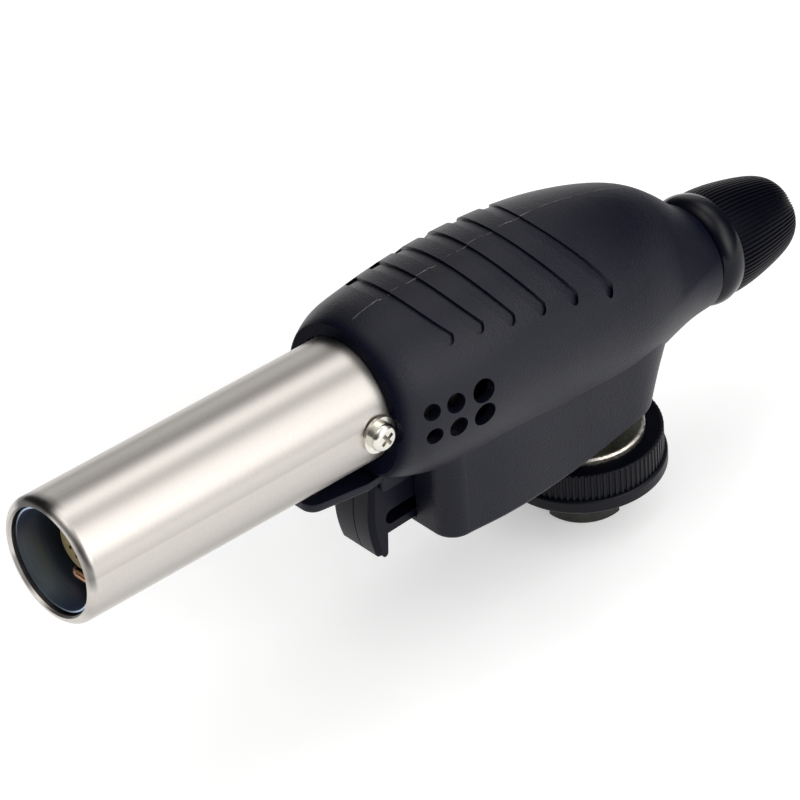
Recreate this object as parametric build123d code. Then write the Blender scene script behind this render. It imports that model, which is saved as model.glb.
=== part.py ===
from build123d import *
import math
import os

# Butane torch head, jewellery and workshop size, without its gas cartridge. Millimetres.
# Z is the cartridge axis, the nozzle points to -X, Y = 0 is the split plane of the housing.
# The origin is the centre of the connector's underside.

# ---------------------------------------------------------------- driving dimensions
TUBE_R = 12.0                # flame tube outer radius
TUBE_WALL = 0.6
TUBE_PITCH = 2.92            # the nozzle rises by this angle towards the front
MOUTH = (-123.9, 0.0, 49.4)  # centre of the mouth
MOUTH_R = 10.2               # radius left open by the rolled edge
TUBE_LENGTH = 84.0
HOUSING_FRONT = 67.6         # housing front face, measured along the tube from the mouth
HOUSING_BORE = 12.3
LINER_R = 9.9
LINER_WALL = 0.3
LINER_START = 1.2
LINER_LENGTH = 57.6
BURNER_R = 5.5
BURNER_DEPTH = 7.0           # burner face behind the mouth
SCREW_STATION = 64.8         # tube screws, along the tube from the mouth

KNOB_PITCH = 4.6             # the knob axis falls by this angle towards the rear
KNOB_ORIGIN = (28.2, 0.0, 31.6)
COLLAR_R = 10.6
SPINDLE_R = 1.6

WALL = 1.8                   # housing wall
BLOCK_FLOOR = 14.6           # underside of the housing
BLOCK_TOP = 40.0               # hidden inside the upper body
BLOCK_FRONT = -46.4
BLOCK_RIDGE = ((-46.0, 39.5), (24.0, 34.0))   # x, z of two points on its sloping top

RING_R = 15.7                # fluted lock ring
RING_TOP = 7.8
FLANGE_R = 16.3
FLANGE_TOP = 2.2
FLANGE_BOTTOM = -0.6
FLUTES = 84
DISC_R = 12.25               # connector disc above the ring
DISC_TOP = 8.85
NECK_R = 7.2
BARREL_R = 11.7
PLATE_R = 12.9
PLATE_THICK = 1.2
SKIRT_R = 8.4                # tube under the plate that enters the cartridge collar
SKIRT_WALL = 1.3
SKIRT_DEPTH = 9.2

TRIGGER_HALF = 5.3
TRIGGER_TRAVEL = 5.0

FIT = 0.06                   # radial clearance of a running fit
GAP = 0.3                    # general clearance between moving pieces

os.makedirs("parts", exist_ok=True)

TUBE = Pos(*MOUTH) * Rot(0, TUBE_PITCH, 0)            # local +X runs along the tube
KNOB = Pos(*KNOB_ORIGIN) * Rot(0, KNOB_PITCH, 0)      # local +X runs out along the knob


def save(node, shape):
    export_step(shape, f"parts/{node}.step")


def rod(radius, start, end, y=0.0, z=0.0):
    """Round bar along local X between two stations."""
    return Pos((start + end) / 2, y, z) * Rot(0, 90, 0) * Cylinder(radius, end - start)


def post(radius, bottom, top, x=0.0, y=0.0):
    """Round bar along Z between two heights."""
    return Pos(x, y, (bottom + top) / 2) * Cylinder(radius, top - bottom)


def block(x0, x1, y0, y1, z0, z1):
    return Pos((x0 + x1) / 2, (y0 + y1) / 2, (z0 + z1) / 2) * Box(x1 - x0, y1 - y0, z1 - z0)


def turned(points):
    """Solid of revolution about local X from (station, radius) points."""
    wire = Polyline(*[(x, 0, r) for x, r in points], close=True)
    return revolve(make_face(wire), Axis.X, 360)


def pipe(points, radius, bends):
    """Round wire or tube along straight runs joined by tangent arcs."""
    path = FilletPolyline(*points, radius=bends)
    profile = Plane(origin=path @ 0, z_dir=path % 0) * Circle(radius)
    return sweep(profile, path)


# ---------------------------------------------------------------- housing
# Stations of the upper body: x, crown, equator, keel, half width.
STATIONS = [
    (-57.4, 58.9, 46.0, 33.1, 12.9),
    (-56.6, 60.0, 46.0, 32.0, 14.0),
    (-55.0, 60.8, 46.0, 31.0, 15.1),
    (-52.0, 61.8, 46.0, 30.0, 16.5),
    (-46.0, 62.4, 46.0, 27.4, 17.7),
    (-38.0, 62.7, 46.0, 24.0, 18.6),
    (-28.0, 62.9, 46.0, 21.0, 18.9),
    (-18.0, 62.7, 45.3, 18.6, 18.6),
    (-8.0, 61.7, 43.9, 17.6, 17.8),
    (2.0, 59.4, 41.7, 17.4, 16.7),
    (10.0, 56.7, 39.3, 18.0, 14.9),
    (17.0, 52.9, 37.0, 19.2, 12.9),
    (23.0, 47.6, 34.6, 20.4, 11.5),
    (28.6, 42.4, 31.7, 21.0, 10.7),
]


def body_section(station, inset):
    """Egg-shaped section; the lower half is squarer at the front, where it meets the trigger."""
    x, crown, equator, keel, half = station
    square = 2.0 + 0.8 * min(1.0, max(0.0, (-36 - x) / 16))
    points = []
    for i in range(16):
        a = 2 * math.pi * i / 16
        power = 1.0 if i <= 8 else 2.0 / square
        rise = (crown - equator - inset) if i <= 8 else (equator - keel - inset)
        across = math.copysign(abs(math.cos(a)) ** power, math.cos(a))
        up = math.copysign(abs(math.sin(a)) ** power, math.sin(a))
        points.append((x, (half - inset) * across, equator + rise * up))
    return make_face(Spline(*points, periodic=True))


def block_outline(height, tail, inset):
    """Plan of the lower block: barrel sides, rounded front corners and a round tail."""
    front, nose, w = BLOCK_FRONT + inset, 4.6 - inset, inset
    side = [(front + nose, 14.9 - w), (-35, 15.8 - w), (-25, 16.2 - w), (-12, 15.5 - w), (0, 14.2 - w)]
    lines = [Line((front, -14.9 + w + nose), (front, 14.9 - w - nose))]
    for s in (1, -1):
        corner = (front + nose * 0.293, s * (14.9 - w - nose * 0.293))
        lines.append(ThreePointArc((front, s * (14.9 - w - nose)), corner, (front + nose, s * (14.9 - w))))
        lines.append(Spline(*[(x, s * y) for x, y in side], tangents=[(1, s * 0.12), (1, -s * 0.10)]))
        bow = [((tail - w) * math.sin(a), s * (14.2 - w) * math.cos(a)) for a in (0, 0.52, 1.05)]
        lines.append(Spline(*bow, (tail - w, 0), tangents=[(1, -s * 0.10), (0, -s)]))
    return Pos(0, 0, height) * make_face(lines)


def lower_block(inset):
    """The sides run up inside the upper body; the sloping top follows the crease between them."""
    low = BLOCK_FLOOR + inset
    grow = 24.6 + (24.6 - 13.3) / (31 - BLOCK_FLOOR) * (BLOCK_TOP - 31)
    shape = loft([block_outline(low, 13.3, inset), block_outline(BLOCK_TOP, grow, inset)], ruled=True)
    (x1, z1), (x2, z2) = BLOCK_RIDGE
    slope = math.degrees(math.atan2(z1 - z2, x2 - x1))
    over = Pos(x1, 0, z1 - inset) * Rot(0, slope, 0) * block(-40, 120, -40, 40, 0, 60)
    return shape - over


def upper_body(inset, stations):
    return loft([body_section(s, inset) for s in stations])


outer_block = lower_block(0)
outer_block = fillet(outer_block.faces().sort_by(Axis.Z)[0].edges(), 0.9)
outer = upper_body(0, STATIONS) + outer_block
outer -= TUBE * block(HOUSING_FRONT - 20, HOUSING_FRONT, -30, 30, -30, 30)
outer -= KNOB * block(0, 10, -20, 20, -20, 20)
outer += KNOB * rod(COLLAR_R, -6, 0)

# Heat guard tongue under the tube, with rounded front corners, and the guide above the trigger.
tongue_plan = Polyline((76, -6.4), (69, -7.6), (66, -7.9), (53.6, -6.0), (53.6, 6.0), (66, 7.9), (69, 7.6),
                       (76, 6.4), close=True)
tongue = extrude(make_face(tongue_plan), 2.0, both=False)
tongue = fillet(tongue.edges().filter_by(Axis.Z).group_by(Axis.X)[0], 2.8)
tongue = fillet(tongue.faces().sort_by(Axis.Z)[0].edges(), 0.8)
outer += TUBE * Pos(0, 0, -15.5) * tongue
guide = block(-54.4, -44, -6.5, 6.5, 27.2, 32.6)
outer += fillet(guide.edges().filter_by(Axis.Z).group_by(Axis.X)[0], 0.6)

# Six finger grooves wrap over the crown and sweep back down the flanks, deepest at the rear edge.
GROOVE_HALF = 1.4
GROOVE_DEPTH = 0.5
GROOVE_TILT = 3.5
GROOVES = [
    # crown x, then the end centre on each flank: x, y, z
    (-45.2, -42.1, 12.5, 57.1),
    (-39.0, -35.8, 13.5, 57.0),
    (-32.8, -29.4, 14.7, 56.5),
    (-26.5, -22.5, 15.3, 55.5),
    (-20.2, -14.9, 15.6, 54.0),
    (-13.5, -6.3, 15.6, 51.0),
]
groove_floor = upper_body(GROOVE_DEPTH, STATIONS)


def groove(crown_x, end_x, end_y, end_z):
    """Vertical-walled strip along an elliptical curve that follows the section's roundness."""
    middle = []
    for part in (-1, -0.7, -0.35, 0, 0.35, 0.7, 1):
        sweep = (1 - math.sqrt(1 - 0.8 * part * part)) / (1 - math.sqrt(1 - 0.8))
        middle.append((crown_x + (end_x - crown_x) * sweep, end_y * part))
    front = Spline(*[(x - GROOVE_HALF, y) for x, y in middle])
    rear = Spline(*[(x + GROOVE_HALF, y) for x, y in middle])
    ends = [ThreePointArc((end_x - GROOVE_HALF, s * end_y), (end_x + 0.5, s * (end_y + 1.1)),
                          (end_x + GROOVE_HALF, s * end_y)) for s in (1, -1)]
    column = Pos(0, 0, end_z - 5) * extrude(make_face([front, rear] + ends), 30)
    pivot = ((crown_x + end_x) / 2, (62.6 + end_z) / 2)
    turn = Pos(pivot[0], 0, pivot[1]) * Rot(0, GROOVE_TILT, 0) * Pos(-pivot[0], 0, -pivot[1])
    return column - turn * groove_floor


cutters = [groove(*spec) for spec in GROOVES]

# Graded air vents, three columns of two on each side.
VENTS = [
    (-50.3, 48.2, 1.65), (-50.3, 43.1, 1.65),
    (-45.4, 47.9, 1.95), (-45.3, 42.7, 1.95),
    (-39.4, 47.6, 2.35), (-39.5, 42.5, 2.35),
]
cutters += [Pos(x, 0, z) * Rot(90, 0, 0) * Cylinder(r, 60) for x, z, r in VENTS]

# Cavity behind the front wall, less the screw bosses, the tube socket and the piezo cradle.
BOSSES = [(-12.0, 55.0, 9.5), (-30.0, 33.0, 9.5), (12.0, 24.3, 5.0)]   # x, z, seat of the screw head
BOSS_R = 2.7
HEAD_BOSS_R = 4.2
SHELL_SCREW_R = 1.25
SHELL_HEAD_R = 2.5
COLLAR_BORE = 8.4
PIEZO = (-35.2, -13.5, -4.2, 4.2, 17.9, 28.4)
WINDOW_HALF = TRIGGER_HALF + GAP

cavity = upper_body(WALL, STATIONS[2:]) + lower_block(WALL)
fill = [
    TUBE * block(HOUSING_FRONT - 20, HOUSING_FRONT + 2.6, -30, 30, -15.4, 30),
    block(-60, BLOCK_FRONT + WALL, -30, 30, 0, 33),
    KNOB * block(-3.4, 10, -20, 20, -20, 20),
    TUBE * (block(77, 79, -30, 30, -15.4, 30) - rod(TUBE_R, 70, 90)),
    block(-33, -31, -30, 30, 10, 28.4) - block(*PIEZO),
    block(-18, -16, -30, 30, 10, 28.4) - block(*PIEZO),
]
for x, z, seat in BOSSES:
    bore = Pos(x, 0, z) * Rot(90, 0, 0)
    fill += [bore * Cylinder(BOSS_R, 60), bore * Pos(0, 0, -seat - 13) * Cylinder(HEAD_BOSS_R, 30)]
cavity -= fill

cutters += [
    cavity,
    KNOB * rod(COLLAR_BORE, -6, 5),
    TUBE * rod(HOUSING_BORE, 50, HOUSING_FRONT + 2.7),
    post(NECK_R + 0.15, 10, 20),
    block(-60, BLOCK_FRONT + WALL + 0.1, -WINDOW_HALF, WINDOW_HALF, 16.2, 29.9),
    block(-50, -35.5, -WINDOW_HALF, WINDOW_HALF, 16.2, 17.5),
]
for side in (1, -1):
    cutters.append(TUBE * Pos(SCREW_STATION, side * 20, 0) * Rot(90, 0, 0) * Cylinder(3.75, 16.2))
for x, z, seat in BOSSES:
    bore = Pos(x, 0, z) * Rot(90, 0, 0)
    cutters += [
        bore * Cylinder(SHELL_SCREW_R, 13),
        bore * Pos(0, 0, -seat / 2) * Cylinder(SHELL_SCREW_R + 0.15, seat),
        bore * Pos(0, 0, -seat - 15) * Cylinder(SHELL_HEAD_R + 0.3, 30),
    ]
housing = outer - cutters
save("left_shell", housing & block(-90, 60, -40, 0, 0, 80))
save("right_shell", housing & block(-90, 60, 0, 40, 0, 80))

shell_screws = []
for x, z, seat in BOSSES:
    bore = Pos(x, 0, z) * Rot(90, 0, 0)
    screw = bore * Pos(0, 0, (6.5 - seat) / 2) * Cylinder(SHELL_SCREW_R, seat + 6.5)
    head = bore * Pos(0, 0, -seat - 1) * Cylinder(SHELL_HEAD_R, 2)
    slots = [bore * Pos(0, 0, -seat - 2) * Rot(0, 0, a) * Box(2.8, 0.6, 1.8) for a in (0, 90)]
    shell_screws.append(screw + head - slots)
save("shell_screws", Compound(children=shell_screws))

# ---------------------------------------------------------------- flame tube and burner
ROLL = 1.6
LIP_R = MOUTH_R + 0.3
tube_outer = Polyline((ROLL, 0, TUBE_R), (TUBE_LENGTH, 0, TUBE_R), (TUBE_LENGTH, 0, TUBE_R - TUBE_WALL),
                      (ROLL, 0, TUBE_R - TUBE_WALL))
roll_in = ThreePointArc((ROLL, 0, TUBE_R - TUBE_WALL), (ROLL * 0.55, 0, TUBE_R - TUBE_WALL - 0.25),
                        (0.5, 0, MOUTH_R))
roll_lip = Line((0.5, 0, MOUTH_R), (0.0, 0, LIP_R))
roll_mid = (ROLL * 0.29, 0, LIP_R + (TUBE_R - LIP_R) * 0.71)
roll_out = ThreePointArc((0.0, 0, LIP_R), roll_mid, (ROLL, 0, TUBE_R))
flame_tube = revolve(make_face([tube_outer, roll_in, roll_lip, roll_out]), Axis.X, 360)
air_holes = [Rot(a, 0, 0) * Pos(73, 0, 0) * Cylinder(2.4, 40) for a in (0, 60, 120)]
screw_holes = Pos(SCREW_STATION, 0, 0) * Rot(90, 0, 0) * Cylinder(1.5, 40)
save("flame_tube", TUBE * (flame_tube - air_holes - screw_holes))

liner = rod(LINER_R, LINER_START, LINER_START + LINER_LENGTH) - rod(LINER_R - LINER_WALL, 0, LINER_LENGTH + 2)
save("liner_tube", TUBE * liner)

MIX_R = 3.9
MIX_WALL = 0.5
burner = turned([(BURNER_DEPTH, 0), (BURNER_DEPTH, BURNER_R - 0.5), (BURNER_DEPTH + 0.5, BURNER_R),
                 (17, BURNER_R), (19, MIX_R + 0.7), (23, MIX_R + 0.7), (23, MIX_R), (18, MIX_R),
                 (18, 3.4), (9.5, 3.4), (9.5, 0)])
ports = [rod(0.9, 5, 12)]
for count, radius, size in ((6, 1.9, 0.5), (10, 3.1, 0.35)):
    for i in range(count):
        a = 2 * math.pi * i / count
        ports.append(rod(size, 5, 12, radius * math.cos(a), radius * math.sin(a)))
save("burner_head", TUBE * (burner - ports))

mixing = rod(MIX_R, 18, 80) - rod(MIX_R - MIX_WALL, 10, 90)
mixing -= [Rot(a, 0, 0) * Pos(73, 0, 0) * Box(5, 1.8, 20) for a in (0, 60, 120)]
save("mixing_tube", TUBE * mixing)

HOLE_RING = 7.3                      # radius on which the holder's openings lie
LOOP_R = 0.75
INSULATOR_R = 1.6
holder = turned([
    (58.8, LINER_R - 0.5), (60, LINER_R - 0.5), (60, TUBE_R - TUBE_WALL),
    (68, TUBE_R - TUBE_WALL), (68, MIX_R), (58.8, MIX_R),
])
openings = []
for i in range(8):
    a = math.radians(45 * i + 22.5)
    y, z = HOLE_RING * math.cos(a), HOLE_RING * math.sin(a)
    openings.append(rod(INSULATOR_R if i == 1 else (LOOP_R if i in (5, 6) else 1.7), 50, 80, y, z))
holder -= openings + [Pos(SCREW_STATION, 0, 0) * Rot(90, 0, 0) * (Cylinder(1.3, 40) - Cylinder(2, 16.6))]
save("burner_holder", TUBE * holder)


def on_ring(angle, radius=HOLE_RING):
    return radius * math.cos(math.radians(angle)), radius * math.sin(math.radians(angle))


# Copper vaporising loop: two legs from the holder, joined by a bend below the burner face.
leg_y, leg_z = on_ring(292.5)
loop_points = [(67, -leg_y, leg_z), (7.2, -leg_y, leg_z), (7.2, leg_y, leg_z), (67, leg_y, leg_z)]
save("preheat_loop", TUBE * pipe(loop_points, LOOP_R, [2.0, 2.0]))

spark_y, spark_z = on_ring(67.5)
insulator = rod(INSULATOR_R, 15, 71, spark_y, spark_z) - rod(0.5, 10, 80, spark_y, spark_z)
save("electrode_insulator", TUBE * insulator)
tip_y, tip_z = on_ring(67.5, 6.3)
electrode = rod(0.5, 11, 72.5, spark_y, spark_z)
electrode += pipe([(11.2, spark_y, spark_z), (8.6, spark_y, spark_z), (6.8, tip_y, tip_z)], 0.5, [1.2])
save("spark_electrode", TUBE * electrode)

jet = turned([(76, 0.35), (76, 1.5), (78, 3.4), (80, 3.4), (80, 4.2), (82.5, 4.2), (82.5, 2.2), (85.5, 2.2),
              (85.5, 1.45), (79, 1.45), (77.5, 0.35)])
save("gas_jet", TUBE * jet)

tube_screws = []
tube_washers = []
for side in (1, -1):
    at = TUBE * Pos(SCREW_STATION, 0, 0) * Rot(-90 * side, 0, 0)
    screw = Pos(0, 0, 10.5) * Cylinder(1.3, 4.2)
    head = Pos(0, 0, 13.55) * Cylinder(2.65, 1.9)
    head = fillet(head.faces().sort_by(Axis.Z)[-1].edges(), 1.1)
    slots = [Pos(0, 0, 14.2) * Rot(0, 0, a) * Box(2.9, 0.75, 1.9) for a in (35, 125)]
    tube_screws.append(at * (screw + head - slots))
    washer = Pos(0, 0, 12.3) * (Cylinder(3.55, 0.6) - Cylinder(1.35, 1))
    tube_washers.append(at * washer)
save("tube_screws", Compound(children=tube_screws))
save("tube_washers", Compound(children=tube_washers))

# ---------------------------------------------------------------- trigger and piezo igniter
REAR = -41.2
side_view = [
    Spline((-55.9, 29.6), (-56.7, 24.5), (-57.0, 20.0), (-56.6, 16.0), (-55.7, 12.4)),
    ThreePointArc((-55.7, 12.4), (-55.0, 11.6), (-54.2, 11.6)),
    ThreePointArc((-54.2, 11.6), (-53.7, 11.8), (-53.5, 12.3)),
    Polyline((-53.5, 12.3), (-53.2, 16.5), (REAR, 16.5), (REAR, 29.6), (-55.9, 29.6)),
]
profile = Plane.XZ * make_face(side_view)
slot = Pos(-47.9, 0, 19.75) * Rot(90, 0, 0) * extrude(SlotOverall(11.2, 3.1), 12, both=True)
trigger = extrude(profile, TRIGGER_HALF, both=True) - slot
front_edges = trigger.edges().filter_by(
    lambda e: e.center().X < -54.3 and abs(abs(e.center().Y) - TRIGGER_HALF) < 0.01 and e.length > 8)
trigger = chamfer(front_edges, 0.9)
save("trigger", trigger)

PLUNGER_Z = 23.2
piezo_case = block(*PIEZO) - block(-40, -21, -3.0, 3.0, PLUNGER_Z - 4.0, PLUNGER_Z + 4.0)
save("piezo_case", piezo_case)
plunger = block(REAR + GAP, -29.5, -2.94, 2.94, PLUNGER_Z - 3.94, PLUNGER_Z + 3.94)
save("piezo_plunger", fillet(plunger.edges().filter_by(Axis.X), 0.8))
spring_path = Helix(pitch=1.2, height=7.2, radius=2.1, direction=(1, 0, 0))
spring_profile = Plane(origin=spring_path @ 0, z_dir=spring_path % 0) * Circle(0.3)
save("piezo_spring", Pos(-28.9, 0, PLUNGER_Z) * sweep(spring_profile, spring_path))

# ---------------------------------------------------------------- connector and lock ring
SOCKET_R = 4.1
SOCKET_DEPTH = 3.9
SEAL_R = 4.6
SEAL_TOP = 5.0
PIN_R = 1.1
connector = post(BARREL_R, 0, 6.2) + post(DISC_R, 6.2, DISC_TOP) + post(NECK_R, DISC_TOP, 21)
connector = chamfer(connector.edges().filter_by(GeomType.CIRCLE).filter_by(
    lambda e: abs(e.radius - DISC_R) < 0.01), 0.35)
connector -= [post(SOCKET_R, -1, SOCKET_DEPTH), post(SEAL_R, SOCKET_DEPTH, SEAL_TOP)]
connector -= [post(PIN_R, 0, 12), post(3.0, 9.2, 13), post(5.0, 12, 22)]
connector -= post(BARREL_R + 1, 0.4, 1.1) - post(BARREL_R - 0.6, 0, 2)
save("connector_body", connector)
save("retaining_clip", post(12.15, 0.4, 1.1) - post(BARREL_R - 0.6, 0, 2) - block(10, 14, -2, 2, 0, 2))
save("canister_seal", post(SEAL_R, SOCKET_DEPTH, SEAL_TOP) - post(PIN_R + 0.05, 3, 6))
save("valve_pin", post(PIN_R, SOCKET_DEPTH + 0.1, 9.2) - post(0.45, 2, 10))
save("inlet_filter", post(3.0, 9.2, 10.6))

ring = post(FLANGE_R, FLANGE_BOTTOM, FLANGE_TOP) + post(RING_R, FLANGE_TOP, RING_TOP)
round_edges = ring.edges().filter_by(GeomType.CIRCLE)
ring = fillet(round_edges.filter_by(lambda e: abs(e.radius - FLANGE_R) < 0.01), 0.5)
round_edges = ring.edges().filter_by(GeomType.CIRCLE)
ring = fillet(round_edges.filter_by(lambda e: abs(e.radius - RING_R) < 0.01 and e.center().Z > 5), 0.4)
ring -= [post(BARREL_R + FIT, -2, 9), post(12.45, 0.2, 1.4), post(PLATE_R + GAP, -2, 0.2)]
ring -= post(DISC_R + GAP, 5.9, 9)
flute = post(0.36, FLANGE_TOP, 9, RING_R + 0.04)
ring -= [Rot(0, 0, 360 * i / FLUTES) * flute for i in range(FLUTES)]
save("lock_ring", ring)

plate = post(PLATE_R, -PLATE_THICK, 0) + post(SKIRT_R, -SKIRT_DEPTH, -PLATE_THICK)
plate = chamfer(plate.faces().sort_by(Axis.Z)[0].edges(), 0.3)
plate -= post(SKIRT_R - SKIRT_WALL, -10, 1)
for a in (47, 167, 287):
    plate -= Rot(0, 0, a) * block(4, 10, -1.2, 1.2, -10, -4.0)
    plate -= Rot(0, 0, a) * block(4, 10, -1.2, 4.0, -5.2, -4.0)
save("bayonet_plate", plate)

neck_nut = extrude(RegularPolygon(8.0, 6, major_radius=False), 2.7) - Cylinder(NECK_R, 10)
save("neck_nut", Pos(0, 0, BLOCK_FLOOR + WALL) * neck_nut)

# ---------------------------------------------------------------- valve and knob
VALVE_TOP = 39.5
PASSAGE_R = 1.2
AXIS_Z = KNOB_ORIGIN[2] + KNOB_ORIGIN[0] * math.tan(math.radians(KNOB_PITCH))   # knob axis above the origin
valve = post(7.0, 21, VALVE_TOP) + post(5.0, 12, 21) + KNOB * rod(5.0, -26, -9) + rod(3.0, -11, 0, 0, 34.6)
valve -= [post(PASSAGE_R, 0, AXIS_Z - 1), KNOB * rod(0.9, -31, -20), KNOB * rod(SPINDLE_R + FIT, -24, 0)]
valve -= [KNOB * rod(2.9, -14.2, -12), KNOB * rod(3.3, -12, 0), rod(1.2, -12, 1, 0, 34.6)]
save("valve_body", valve)

o_ring = revolve(Pos(-13.1, 0, 2.28) * Rot(90, 0, 0) * Circle(0.62), Axis.X, 360)
save("spindle_o_ring", KNOB * o_ring)
packing = extrude(RegularPolygon(4.0, 6, major_radius=False), 5.5)
packing = Pos(-9, 0, 0) * Rot(0, 90, 0) * packing + rod(3.3, -11.9, -9) - rod(SPINDLE_R + FIT, -20, 0)
save("packing_nut", KNOB * packing)

spindle = turned([
    (-23.6, 0), (-23.6, 0.25), (-21.4, 0.75), (-21.4, SPINDLE_R),
    (14, SPINDLE_R), (14, 1.0), (9, 1.0), (9, 0),
])
save("valve_spindle", KNOB * spindle)

HUB_END = 5.9
HUB_PROFILE = [(0.5, 8.9), (1.1, 10.0), (2.1, 10.8), (3.4, 11.1), (4.6, 11.0), (5.5, 10.75)]
hub_curve = Spline(*[(x, 0, r) for x, r in HUB_PROFILE])
hub_rest = Polyline(
    (5.5, 0, 10.75), (HUB_END, 0, 10.6), (HUB_END, 0, 5.2), (20, 0, 5.2), (20, 0, 1.2), (14.05, 0, 1.2),
    (14.05, 0, SPINDLE_R + FIT), (-2.0, 0, SPINDLE_R + FIT), (-2.0, 0, 7.6), (0.5, 0, 7.6), (0.5, 0, 8.9),
)
save("knob_hub", KNOB * revolve(make_face([hub_curve, hub_rest]), Axis.X, 360))

GRIP_PROFILE = [
    (HUB_END, 10.55), (8.3, 10.55), (12, 10.2), (16, 9.5), (20, 8.55),
    (22.6, 7.6), (24.2, 6.5), (25.1, 5.1), (25.5, 3.4),
]
KNOB_LENGTH = 25.6
grip_curve = Spline(*[(x, 0, r) for x, r in GRIP_PROFILE])
grip_rest = Polyline((25.5, 0, 3.4), (KNOB_LENGTH, 0, 2.6), (KNOB_LENGTH, 0, 0), (23.4, 0, 0), (23.4, 0, 3.2),
                     (20, 0, 3.2), (20, 0, 5.2), (HUB_END, 0, 5.2), (HUB_END, 0, 10.55))
grip = revolve(make_face([grip_curve, grip_rest]), Axis.X, 360)
RIBS = 74
RIB_DEPTH = 0.35
rib_outer = Polyline(*[(x, 0, r + 0.8) for x, r in GRIP_PROFILE[:8]])
rib_inner = Spline(*[(x, 0, r - RIB_DEPTH) for x, r in GRIP_PROFILE[:8]])
rib_ends = [Line(rib_outer @ 0, rib_inner @ 0), Line(rib_outer @ 1, rib_inner @ 1)]
groove_cutter = extrude(make_face([rib_outer, rib_inner] + rib_ends), 0.19, both=True)
save("knob_grip", KNOB * (grip - [Rot(360 * i / RIBS, 0, 0) * groove_cutter for i in range(RIBS)]))
save("knob_screw", KNOB * (rod(1.0, 9.2, 20) + rod(2.4, 20, 22) - block(21.2, 23, -0.3, 0.3, -3, 3)))

# ---------------------------------------------------------------- gas tube and ignition lead
jet_end = (TUBE * Pos(85.4, 0, 0)).position
bend_x = -31.0
bend_z = MOUTH[2] - (bend_x - MOUTH[0]) * math.tan(math.radians(TUBE_PITCH))
gas_path = [(-10.8, 0, 34.6), (-18, 0, 34.6), (bend_x, 0, bend_z), tuple(jet_end)]
save("gas_tube", pipe(gas_path, 1.2, [6.0, 5.0]))
lead_start = (TUBE * Pos(72.8, spark_y, spark_z)).position
lead_path = [tuple(lead_start), (-37, 4.5, 51.7), (-23, 8, 46), (-20, 3, 37), (-20, 3, 28.45)]
save("ignition_lead", pipe(lead_path, 0.7, [5.0, 5.0, 5.0]))
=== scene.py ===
import math
import random

import bpy
from mathutils import Euler, Matrix, Vector


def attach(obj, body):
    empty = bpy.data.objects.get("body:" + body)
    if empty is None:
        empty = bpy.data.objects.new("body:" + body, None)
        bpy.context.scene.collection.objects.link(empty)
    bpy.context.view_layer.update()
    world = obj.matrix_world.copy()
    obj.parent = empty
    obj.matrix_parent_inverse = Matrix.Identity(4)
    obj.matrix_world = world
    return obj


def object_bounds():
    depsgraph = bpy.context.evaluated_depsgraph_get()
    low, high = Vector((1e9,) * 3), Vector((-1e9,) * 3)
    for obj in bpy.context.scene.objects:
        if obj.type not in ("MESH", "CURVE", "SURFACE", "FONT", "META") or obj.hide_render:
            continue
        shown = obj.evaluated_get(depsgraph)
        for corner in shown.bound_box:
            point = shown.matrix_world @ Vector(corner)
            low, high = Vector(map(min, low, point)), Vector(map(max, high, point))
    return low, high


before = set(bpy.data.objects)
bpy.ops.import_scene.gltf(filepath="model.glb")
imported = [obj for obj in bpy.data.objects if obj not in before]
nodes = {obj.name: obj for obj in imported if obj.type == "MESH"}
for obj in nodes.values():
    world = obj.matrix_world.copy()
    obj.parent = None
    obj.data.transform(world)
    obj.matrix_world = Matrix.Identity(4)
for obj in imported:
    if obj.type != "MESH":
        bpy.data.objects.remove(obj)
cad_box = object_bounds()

# Looks of the butane torch head. Metres, in the frame of the CAD model.
MM = 0.001
scene = bpy.context.scene

# ------------------------------------------------------------ camera
CAMERA_AT = (-0.47675, -0.51654, 0.55127)
CAMERA_TURN = (52.650, 3.715, -42.823)  # degrees about x, y and z
LENS = 212.98

camera_data = bpy.data.cameras.new("camera")
camera_data.lens = LENS
camera_data.sensor_width = 36.0
camera_data.clip_start = 0.01
camera_data.clip_end = 50.0
camera = bpy.data.objects.new("camera", camera_data)
camera_turn = Euler([math.radians(angle) for angle in CAMERA_TURN]).to_matrix()
camera.matrix_world = Matrix.Translation(CAMERA_AT) @ camera_turn.to_4x4()
scene.collection.objects.link(camera)
scene.camera = camera

scene.view_settings.view_transform = "Standard"
scene.view_settings.look = "None"


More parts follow.
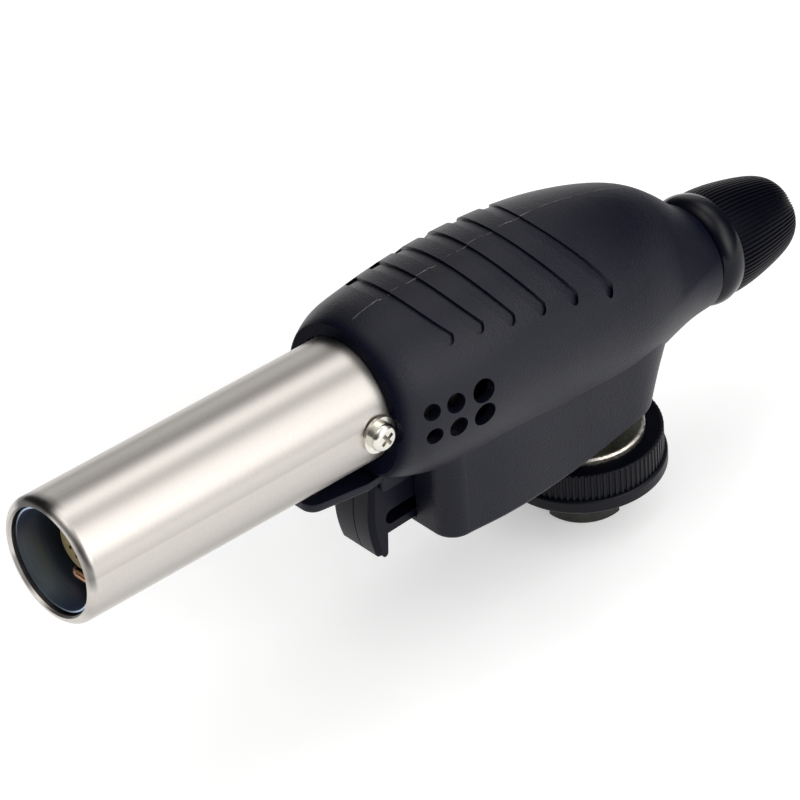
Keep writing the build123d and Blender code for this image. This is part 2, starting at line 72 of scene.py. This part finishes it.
# ------------------------------------------------------------ material helper
class Mat:
    """A node material with short calls for the nodes used here."""

    def __init__(self, name):
        self.mat = bpy.data.materials.new(name)
        self.mat.use_nodes = True
        self.tree = self.mat.node_tree
        self.bsdf = self.tree.nodes["Principled BSDF"]
        self.coords = self.node("ShaderNodeTexCoord").outputs["Object"]

    def node(self, kind, **props):
        n = self.tree.nodes.new(kind)
        for key, value in props.items():
            setattr(n, key, value)
        return n

    def link(self, a, b):
        self.tree.links.new(a, b)

    def feed(self, socket, value):
        if isinstance(value, bpy.types.NodeSocket):
            self.link(value, socket)
        else:
            socket.default_value = value

    def set(self, **values):
        for key, value in values.items():
            name = key.replace("_", " ").title().replace("Ior", "IOR")
            self.feed(self.bsdf.inputs[name], value)

    def mapped(self, location=(0, 0, 0), rotation=(0, 0, 0), scale=(1, 1, 1),
               kind="POINT", source=None):
        n = self.node("ShaderNodeMapping", vector_type=kind)
        self.feed(n.inputs["Vector"], source or self.coords)
        n.inputs["Location"].default_value = location
        n.inputs["Rotation"].default_value = rotation
        n.inputs["Scale"].default_value = scale
        return n.outputs["Vector"]

    def noise(self, scale, detail=3.0, rough=0.5, vector=None, distortion=0.0):
        n = self.node("ShaderNodeTexNoise")
        self.feed(n.inputs["Vector"], vector or self.coords)
        n.inputs["Scale"].default_value = scale
        n.inputs["Detail"].default_value = detail
        n.inputs["Roughness"].default_value = rough
        n.inputs["Distortion"].default_value = distortion
        return n.outputs["Fac"]

    def voronoi(self, scale):
        n = self.node("ShaderNodeTexVoronoi", feature="F1")
        self.link(self.coords, n.inputs["Vector"])
        n.inputs["Scale"].default_value = scale
        return n.outputs["Distance"]

    def math(self, op, a, b=0.0, c=0.0):
        n = self.node("ShaderNodeMath", operation=op)
        for i, v in enumerate((a, b, c)):
            self.feed(n.inputs[i], v)
        return n.outputs["Value"]

    def add(self, a, b):
        return self.math("ADD", a, b)

    def times(self, a, b):
        return self.math("MULTIPLY", a, b)

    def inverse(self, value):
        return self.math("SUBTRACT", 1.0, value)

    def away(self, value, centre):
        """Distance of a value from a centre."""
        return self.math("ABSOLUTE", self.math("SUBTRACT", value, centre))

    def radius(self, x, y):
        return self.math("SQRT", self.add(self.times(x, x), self.times(y, y)))

    def ramp(self, fac, *stops):
        n = self.node("ShaderNodeValToRGB")
        elements = n.color_ramp.elements
        while len(elements) < len(stops):
            elements.new(0.5)
        for e, (at, colour) in zip(elements, stops):
            e.position = at
            if isinstance(colour, (int, float)):
                colour = (colour, colour, colour)
            e.color = (*colour[:3], 1.0)
        self.feed(n.inputs["Fac"], fac)
        return n.outputs["Color"]

    def span(self, value, low, high, to_low=0.0, to_high=1.0, smooth=False):
        n = self.node("ShaderNodeMapRange", clamp=True)
        if smooth:
            n.interpolation_type = "SMOOTHSTEP"
        names = ("Value", "From Min", "From Max", "To Min", "To Max")
        for key, v in zip(names, (value, low, high, to_low, to_high)):
            self.feed(n.inputs[key], v)
        return n.outputs["Result"]

    def mix(self, fac, a, b, mode="MIX"):
        n = self.node("ShaderNodeMix", data_type="RGBA", blend_type=mode)
        self.feed(n.inputs["Factor"], fac)
        colours = [s for s in n.inputs if s.type == "RGBA"]
        for socket, v in zip(colours, (a, b)):
            self.feed(socket, v if isinstance(v, bpy.types.NodeSocket) else (*v[:3], 1.0))
        return [s for s in n.outputs if s.type == "RGBA"][0]

    def split(self, vector):
        n = self.node("ShaderNodeSeparateXYZ")
        self.feed(n.inputs[0], vector)
        return n.outputs

    def bump(self, height, distance, strength):
        n = self.node("ShaderNodeBump")
        n.inputs["Strength"].default_value = strength
        n.inputs["Distance"].default_value = distance
        self.feed(n.inputs["Height"], height)
        return n.outputs["Normal"]


def assign(material, *names):
    for name in names:
        nodes[name].data.materials.clear()
        nodes[name].data.materials.append(material.mat)


# ------------------------------------------------------------ materials
TUBE_AT = (-0.1239, 0.0, 0.0494)
TUBE_PITCH = math.radians(2.92)
TUBE_AXIS = (math.cos(TUBE_PITCH), 0.0, -math.sin(TUBE_PITCH))
# Shading around the tube: degrees up from the left side, brightness. It is not in the real finish.
# It stands in for reflections that the lamps below don't give.
TUBE_TONES = [
    (-40, 0.95), (-28, 0.76), (-22, 0.77), (-12, 0.91), (0, 1.0), (9.5, 0.97), (11.2, 0.81),
    (16, 0.85), (24, 0.91), (32, 1.0), (108, 1.0), (120, 0.77), (132, 0.90),
]
TONES_FROM = -45
TONES_TO = 145
STAIN_ANGLE = 1.86
CREASE_ANGLE = 0.42
CREASE_AT = 0.0006

# Where the housing's gloss is lowered as painted shade: metres along and above the tube's axis, then x and
# z.
# Nothing shows that the real plastic differs there: these places are toned down to match the photo's tones.
LIP_ALONG = (0.0678, 0.0706)
TONGUE_ABOVE = (-0.0140, -0.0130)
SHOULDER_X = (-0.006, 0.016)
SHOULDER_Z = (0.028, 0.036)
FLANK_X = (-0.034, -0.012)
FLANK_END_X = (0.016, 0.004)
FLANK_Z = (0.056, 0.046)
BLOCK_Z = (0.036, 0.030)
SHELL_SHEEN = 0.28

TRIGGER_LINE_Y = -0.0006
TRIGGER_SHEEN = 0.10
RING_SHEEN = 0.175
CONNECTOR_EDGE = (0.01150, 0.01175)


def tube_coords(m):
    """Coordinates in the tube's own frame: X runs back along its axis from the mouth."""
    return m.mapped(location=TUBE_AT, rotation=(0, TUBE_PITCH, 0), kind="TEXTURE")


def constant_vector(m, value):
    n = m.node("ShaderNodeCombineXYZ")
    for socket, v in zip(n.inputs, value):
        socket.default_value = v
    return n.outputs[0]


def rim_stain_and_shade(m, local, along, angle):
    """Heat stain over the rolled rim at the top, and painted shade in the crease where the roll begins."""
    blot = m.math("MULTIPLY_ADD", m.noise(260, 3, 0.6, local), 0.5, -0.25)
    top = m.inverse(m.span(m.away(angle, STAIN_ANGLE), 0.34, 0.60, smooth=True))
    near = m.inverse(m.span(m.add(along, m.times(blot, 0.002)), 0.0008, 0.0034, smooth=True))
    # Painted shade: a dark line in the crease where the roll begins, on one side of the tube only.
    side = m.inverse(m.span(m.away(angle, CREASE_ANGLE), 0.22, 0.50, smooth=True))
    crease_shade = m.inverse(m.span(m.away(along, CREASE_AT), 0.0002, 0.0009, smooth=True))
    return m.math("MAXIMUM", m.times(top, near), m.times(m.times(side, crease_shade), 0.75))


def brushed_steel():
    """Stainless tube with very fine turning marks that run around it."""
    m = Mat("brushed_steel")
    local = tube_coords(m)
    grain = m.noise(1.0, 3, 0.6, m.mapped(scale=(7500, 700, 700), source=local))
    fine = m.noise(1.0, 2, 0.5, m.mapped(scale=(15000, 1500, 1500), source=local))
    tone = m.add(m.times(grain, 0.5), m.times(fine, 0.5))
    colour = m.ramp(tone, (0.3, (0.565, 0.533, 0.497)), (0.5, (0.605, 0.572, 0.535)),
                    (0.7, (0.645, 0.614, 0.578)))
    along, side, height = m.split(local)
    # The tube is a little darker towards the housing end.
    colour = m.mix(m.span(along, 0.0, 0.088, 0.0, 0.12), colour, (0.40, 0.38, 0.36))
    angle = m.math("ARCTAN2", height, m.times(side, -1.0))
    around = m.span(angle, math.radians(TONES_FROM), math.radians(TONES_TO))
    stops = [((degrees - TONES_FROM) / (TONES_TO - TONES_FROM), level) for degrees, level in TUBE_TONES]
    colour = m.mix(1.0, colour, m.ramp(around, *stops), mode="MULTIPLY")
    # The heat stain and the painted crease shade darken the tube's colour.
    stain_and_shade = rim_stain_and_shade(m, local, along, angle)
    colour = m.mix(m.times(stain_and_shade, 0.88), colour, (0.045, 0.044, 0.045))
    m.set(base_color=colour, metallic=1.0, roughness=m.span(tone, 0.3, 0.7, 0.28, 0.315))
    m.set(anisotropic=0.82, tangent=constant_vector(m, TUBE_AXIS))
    m.set(normal=m.bump(tone, 0.000004, 0.5))
    return m


def liner_steel():
    m = Mat("liner_steel")
    local = tube_coords(m)
    grain = m.noise(1.0, 3, 0.6, m.mapped(scale=(2500, 120, 120), source=local))
    colour = m.ramp(grain, (0.3, (0.36, 0.45, 0.60)), (0.7, (0.44, 0.54, 0.70)))
    m.set(base_color=colour, metallic=1.0, roughness=m.span(grain, 0.3, 0.7, 0.3, 0.42))
    m.set(normal=m.bump(grain, 0.00002, 0.4))
    return m


def plain_metal(name, dark, light, low, high, scale=900, depth=0.00002):
    m = Mat(name)
    grain = m.noise(scale, 4, 0.6)
    smudge = m.noise(scale * 0.12, 2, 0.5)
    tone = m.add(m.times(grain, 0.4), m.times(smudge, 0.6))
    m.set(base_color=m.ramp(tone, (0.35, dark), (0.65, light)), metallic=1.0)
    m.set(roughness=m.span(tone, 0.35, 0.65, low, high), normal=m.bump(grain, depth, 0.4))
    return m


def moulded_plastic(name, dark, light, low, high, texture=0.000025, grain_scale=2600,
                    specular=0.36):
    """Black plastic from a spark-eroded mould: a fine even texture and faint flow tones."""
    m = Mat(name)
    fine = m.noise(grain_scale, 5, 0.6)
    pits = m.voronoi(grain_scale * 0.9)
    flow = m.noise(38, 3, 0.5, distortion=0.6)
    tone = m.add(m.times(fine, 0.35), m.times(flow, 0.65))
    m.set(base_color=m.ramp(tone, (0.35, dark), (0.65, light)))
    m.set(roughness=m.span(tone, 0.35, 0.65, low, high))
    height = m.add(fine, m.times(pits, 0.5))
    m.set(normal=m.bump(height, texture, 0.5), specular_ior_level=specular)
    return m


def shell_plastic():
    """Housing, its gloss lowered as painted shade on the lip, tongue, shoulder, rear flanks and lower
    block.
    """
    m = moulded_plastic("shell_plastic", (0.0018, 0.0024, 0.0082), (0.0042, 0.0049, 0.0125),
                        0.35, 0.43, texture=0.00013)
    along, _, above = m.split(tube_coords(m))
    # Painted shade: the gloss is cut on the lip and the shoulder.
    front = m.math("MAXIMUM", m.span(along, *LIP_ALONG, 0.08, 1.0, smooth=True),
                   m.span(above, *TONGUE_ABOVE, 1.0, 0.0))
    x, _, z = m.split(m.coords)
    shoulder = m.times(m.span(x, *SHOULDER_X), m.span(z, *SHOULDER_Z))
    sheen = m.times(front, m.math("MULTIPLY_ADD", shoulder, -0.90, 1.0))
    flank = m.times(m.span(x, *FLANK_X), m.span(x, *FLANK_END_X))
    flank = m.times(flank, m.span(z, *FLANK_Z))
    # Painted shade: the gloss is cut further on the rear flanks and the lower block.
    shade_cut = m.math("MAXIMUM", m.times(flank, 0.42), m.times(m.span(z, *BLOCK_Z), 0.20))
    sheen = m.times(sheen, m.inverse(shade_cut))
    m.set(specular_ior_level=m.times(sheen, SHELL_SHEEN))
    return m


def trigger_plastic():
    """Trigger, with a thin mould line down the middle of its front face."""
    m = moulded_plastic("trigger_plastic", (0.0018, 0.0022, 0.006), (0.0038, 0.0043, 0.010),
                        0.30, 0.38)
    off_line = m.span(m.away(m.split(m.coords)[1], TRIGGER_LINE_Y), 0.00008, 0.00018)
    m.set(specular_ior_level=m.times(off_line, TRIGGER_SHEEN))
    return m


def ring_plastic():
    """Lock ring, its gloss lowered on the upper face to stand in for the housing's shade."""
    m = moulded_plastic("ring_plastic", (0.0022, 0.0026, 0.0055), (0.0045, 0.005, 0.009),
                        0.34, 0.42)
    x, y, z = m.split(m.coords)
    upper_face = m.times(m.span(z, 0.0070, 0.0076),
                         m.inverse(m.span(m.radius(x, y), 0.0150, 0.0155)))
    m.set(specular_ior_level=m.math("MULTIPLY_ADD", upper_face, -0.16, RING_SHEEN))
    return m


def grip_plastic():
    return moulded_plastic("grip_plastic", (0.0016, 0.0020, 0.0050), (0.0032, 0.0037, 0.0080),
                           0.30, 0.38, specular=0.06)


def hub_plastic():
    return moulded_plastic("hub_plastic", (0.0016, 0.0020, 0.0052), (0.0032, 0.0037, 0.0085),
                           0.15, 0.22, texture=0.00003, specular=0.22)


def casting(name, dark, light, low):
    return plain_metal(name, dark, light, low, 0.6, scale=1500, depth=0.00006)


def connector_metal():
    """Dull cast top with a rubbed, bright and slightly chipped outer edge."""
    m = Mat("connector_metal")
    grain = m.noise(1500, 4, 0.6)
    chips = m.noise(1.0, 4, 0.7, m.mapped(scale=(900, 900, 3500)))
    x, y, _ = m.split(m.coords)
    wander = m.times(m.math("SUBTRACT", chips, 0.5), 0.0007)
    edge = m.span(m.add(m.radius(x, y), wander), *CONNECTOR_EDGE)
    dull = m.ramp(grain, (0.35, (0.15, 0.15, 0.122)), (0.65, (0.24, 0.24, 0.20)))
    bright = m.ramp(chips, (0.35, (0.30, 0.28, 0.24)), (0.55, (0.80, 0.76, 0.70)))
    m.set(base_color=m.mix(edge, dull, bright), metallic=1.0)
    m.set(roughness=m.span(grain, 0.3, 0.7, 0.32, 0.48))
    m.set(normal=m.bump(m.add(grain, m.times(chips, edge)), 0.00008, 0.6))
    return m


def ceramic_glaze():
    m = Mat("ceramic")
    speck = m.noise(1800, 4, 0.6)
    m.set(base_color=m.ramp(speck, (0.3, (0.72, 0.69, 0.62)), (0.7, (0.82, 0.80, 0.74))))
    m.set(roughness=m.span(speck, 0.3, 0.7, 0.25, 0.4), normal=m.bump(speck, 0.00001, 0.4))
    return m


def soft_rubber(name, dark, light):
    m = Mat(name)
    fine = m.noise(1600, 4, 0.6)
    m.set(base_color=m.ramp(fine, (0.3, dark), (0.7, light)))
    m.set(roughness=m.span(fine, 0.3, 0.7, 0.55, 0.72), normal=m.bump(fine, 0.00003, 0.5))
    return m


assign(shell_plastic(), "left_shell", "right_shell")
assign(brushed_steel(), "flame_tube")
assign(liner_steel(), "liner_tube", "burner_holder")
assign(plain_metal("brass", (0.30, 0.225, 0.10), (0.42, 0.325, 0.155), 0.40, 0.52),
       "burner_head", "mixing_tube", "gas_jet", "packing_nut", "neck_nut", "valve_pin")
assign(plain_metal("copper", (0.62, 0.25, 0.10), (0.90, 0.44, 0.22), 0.16, 0.28),
       "preheat_loop", "gas_tube")
assign(plain_metal("nickel", (0.66, 0.64, 0.58), (0.82, 0.80, 0.74), 0.16, 0.28),
       "tube_screws", "tube_washers", "knob_screw", "shell_screws")
assign(connector_metal(), "connector_body")
assign(casting("zinc_casting", (0.15, 0.15, 0.125), (0.24, 0.24, 0.205), 0.4), "valve_body")
assign(casting("dark_casting", (0.035, 0.036, 0.032), (0.065, 0.066, 0.060), 0.45), "bayonet_plate")
assign(plain_metal("plated_steel", (0.52, 0.52, 0.50), (0.72, 0.72, 0.70), 0.25, 0.4),
       "retaining_clip", "inlet_filter")
assign(plain_metal("spring_steel", (0.45, 0.45, 0.46), (0.62, 0.62, 0.63), 0.25, 0.4),
       "piezo_spring", "spark_electrode", "valve_spindle")
assign(ceramic_glaze(), "electrode_insulator")
assign(soft_rubber("black_rubber", (0.013, 0.013, 0.014), (0.022, 0.022, 0.023)),
       "canister_seal", "spindle_o_ring")
assign(soft_rubber("lead_insulation", (0.30, 0.02, 0.015), (0.40, 0.035, 0.02)), "ignition_lead")
assign(moulded_plastic("piezo_plastic", (0.55, 0.53, 0.48), (0.64, 0.62, 0.57), 0.4, 0.5),
       "piezo_case", "piezo_plunger")
assign(trigger_plastic(), "trigger")
assign(ring_plastic(), "lock_ring")
assign(grip_plastic(), "knob_grip")
assign(hub_plastic(), "knob_hub")

# ------------------------------------------------------------ parting line along the crown
# Millimetres, along x.
FLASH_FRONT = -57.0
FLASH_REAR = 24.0
FLASH_STEP = 0.2
FLASH_FAINT = -2.0      # behind this the seam is only a faint even line
FLASH_LEAST = 0.006     # lower stretches are left out
FLASH_UNDER = -0.04     # height of its two edges, just under the surface
FLASH_SIDE = 0.05       # offset of the probe from the split plane
FLASH_JUMP = 0.0006     # metres: a groove's wall breaks the seam
FLASH_CLEAR = 0.00001   # metres: the seam stays this far under the top of the CAD box
CROWN_LEAST = 0.03      # metres: lower hits are not the crown
PROBE_HEIGHT = 0.09     # metres
FLASH_WAVES = ((1.0, 0.55), (0.8, 1.37), (0.5, 3.1))


def crown_point(x, y):
    """Point of the housing's crown above (x, y), in metres, or None beyond its ends."""
    for name in ("left_shell", "right_shell"):
        start = Vector((x, y, PROBE_HEIGHT))
        hit, place, _, _ = nodes[name].ray_cast(start, Vector((0, 0, -1)))
        if hit and place.z > CROWN_LEAST:
            return place
    return None


def flash_material():
    m = Mat("flash_plastic")
    fleck = m.noise(1500, 4, 0.7)
    m.set(base_color=m.ramp(fleck, (0.35, (0.02, 0.02, 0.022)), (0.58, (0.10, 0.095, 0.085)),
                            (0.75, (0.30, 0.28, 0.25))))
    m.set(roughness=m.span(fleck, 0.3, 0.7, 0.4, 0.6), normal=m.bump(fleck, 0.00002, 0.5))
    return m


def flash_lift(x, phases, rng):
    """Height of the flash at x, in mm."""
    wave = sum(size * math.sin(x * rate + phase)
               for (size, rate), phase in zip(FLASH_WAVES, phases))
    if x < FLASH_FAINT:
        return max(0.0, 0.045 + 0.045 * wave + rng.uniform(-0.02, 0.03))
    return max(0.0, 0.02 + 0.014 * wave)


def parting_flash():
    """Thin uneven seam of moulding flash, in short runs, along the crown and its grooves."""
    rng = random.Random(11)
    phases = [rng.uniform(0, 6.28) for _ in range(4)]
    points, faces = [], []
    previous = None
    for i in range(int((FLASH_REAR - FLASH_FRONT) / FLASH_STEP)):
        x = FLASH_FRONT + i * FLASH_STEP
        lift = flash_lift(x, phases, rng)
        drift = 0.10 * math.sin(x * 0.31 + phases[3]) + rng.uniform(-0.03, 0.03)
        base = crown_point(x * MM, (drift + FLASH_SIDE) * MM)
        if base is None or lift < FLASH_LEAST:
            previous = None
            continue
        half = 0.06 + 0.9 * lift
        row = []
        for across, up in ((-1.0, FLASH_UNDER), (-0.45, lift), (0.35, lift * 0.9), (1.0, FLASH_UNDER)):
            height = min(base.z + up * MM, cad_box[1][2] - FLASH_CLEAR)
            row.append(len(points))
            points.append((x * MM, (drift + across * half) * MM, height))
        if previous is not None and abs(points[previous[1]][2] - points[row[1]][2]) < FLASH_JUMP:
            for k in range(3):
                faces.append((previous[k], row[k], row[k + 1], previous[k + 1]))
        previous = row
    mesh = bpy.data.meshes.new("parting_flash")
    mesh.from_pydata(points, [], faces)
    mesh.materials.append(flash_material().mat)
    seam = bpy.data.objects.new("parting_flash", mesh)
    scene.collection.objects.link(seam)
    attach(seam, "head")


parting_flash()

# ------------------------------------------------------------ stage and light
FLOOR_Z = cad_box[0][2] - 0.0002
FLOOR_HALF = 6.0
WORLD_BASE = 0.04
# Soft lamps as seen from the object: azimuth, elevation, brightness, tightness.
# All but the fifth are the output of a light fit, so this is a table made by another program.
LAMPS = [
    (-46, 48, 1.71, 21.7),
    (-80, 26, 3.70, 10.6),
    (104, 90, 0.43, 9.0),
    (21, 60, 2.17, 23.6),
    (52, 17, 0.92, 17.0),
    (175, 70, 1.75, 14.8),
]


def paper_material():
    """White paper that glows, more strongly on the side of the main camera, to keep it white."""
    m = Mat("paper")
    white = m.ramp(m.noise(60, 3), (0.3, 0.80), (0.7, 0.82))
    m.set(base_color=white, emission_color=white, roughness=0.9, specular_ior_level=0.1)
    toward_viewer = m.math("SUBTRACT", m.times(m.split(m.coords)[1], -1.0), 0.05)
    m.set(emission_strength=m.span(toward_viewer, 0.0, 0.25, 0.50, 0.85, smooth=True))
    return m


def paper_floor():
    mesh = bpy.data.meshes.new("floor")
    corners = [(x * FLOOR_HALF, y * FLOOR_HALF, FLOOR_Z) for x, y in ((-1, -1), (1, -1), (1, 1), (-1, 1))]
    mesh.from_pydata(corners, [], [(0, 1, 2, 3)])
    mesh.materials.append(paper_material().mat)
    floor = bpy.data.objects.new("floor", mesh)
    scene.collection.objects.link(floor)


def studio_world():
    """Room light: soft round lamps, each brightness * exp(tightness * (cos angle - 1))."""
    world = bpy.data.worlds.new("studio")
    scene.world = world
    world.use_nodes = True
    tree = world.node_tree

    def math_node(operation, *values):
        n = tree.nodes.new("ShaderNodeMath")
        n.operation = operation
        for socket, v in zip(n.inputs, values):
            if isinstance(v, bpy.types.NodeSocket):
                tree.links.new(v, socket)
            else:
                socket.default_value = v
        return n.outputs[0]

    direction = tree.nodes.new("ShaderNodeTexCoord").outputs["Generated"]
    total = WORLD_BASE
    for azimuth, elevation, brightness, tightness in LAMPS:
        a, e = math.radians(azimuth), math.radians(elevation)
        dot = tree.nodes.new("ShaderNodeVectorMath")
        dot.operation = "DOT_PRODUCT"
        tree.links.new(direction, dot.inputs[0])
        dot.inputs[1].default_value = (math.cos(e) * math.cos(a), math.cos(e) * math.sin(a), math.sin(e))
        power = math_node("MULTIPLY_ADD", dot.outputs["Value"], tightness, math.log(brightness) - tightness)
        total = math_node("ADD", total, math_node("EXPONENT", power))
    background = tree.nodes["Background"]
    tree.links.new(total, background.inputs["Strength"])
    background.inputs["Color"].default_value = (1.0, 0.995, 0.99, 1.0)


paper_floor()
studio_world()
